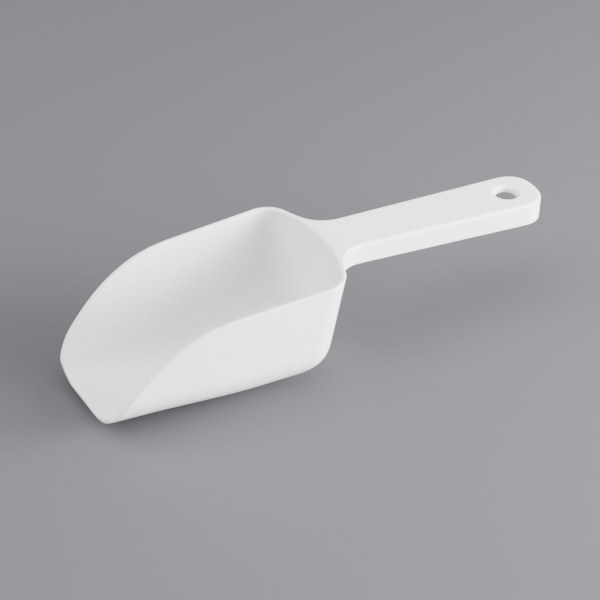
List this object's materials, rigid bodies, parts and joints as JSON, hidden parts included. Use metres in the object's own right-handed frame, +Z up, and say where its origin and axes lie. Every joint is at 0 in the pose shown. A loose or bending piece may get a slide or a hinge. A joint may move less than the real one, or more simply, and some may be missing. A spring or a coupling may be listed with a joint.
{
  "type": "ice scoop",
  "caption": "Open-fronted plastic scoop with rounded bowl, swept rim, flat floor and a round-ended channel handle with a hanging hole.",
  "frame": {"origin": "bottom centre of the bounding box, on the surface that the scoop stands on", "axes": "+X along the scoop from the lip towards the end of the handle, +Y to the left when looking along +X, +Z up"},
  "size_m": [0.24, 0.0768, 0.0563],
  "materials": {
    "white_plastic": "smooth moulded opaque white plastic with a soft satin gloss"
  },
  "bodies": {
    "root": {"bowl_floor": "white_plastic", "bowl_left_wall": "white_plastic", "bowl_right_wall": "white_plastic", "bowl_back_wall": "white_plastic", "handle_neck": "white_plastic", "handle_top": "white_plastic", "handle_left_skirt": "white_plastic", "handle_right_skirt": "white_plastic", "handle_end_skirt": "white_plastic"}
  },
  "joints": []
}
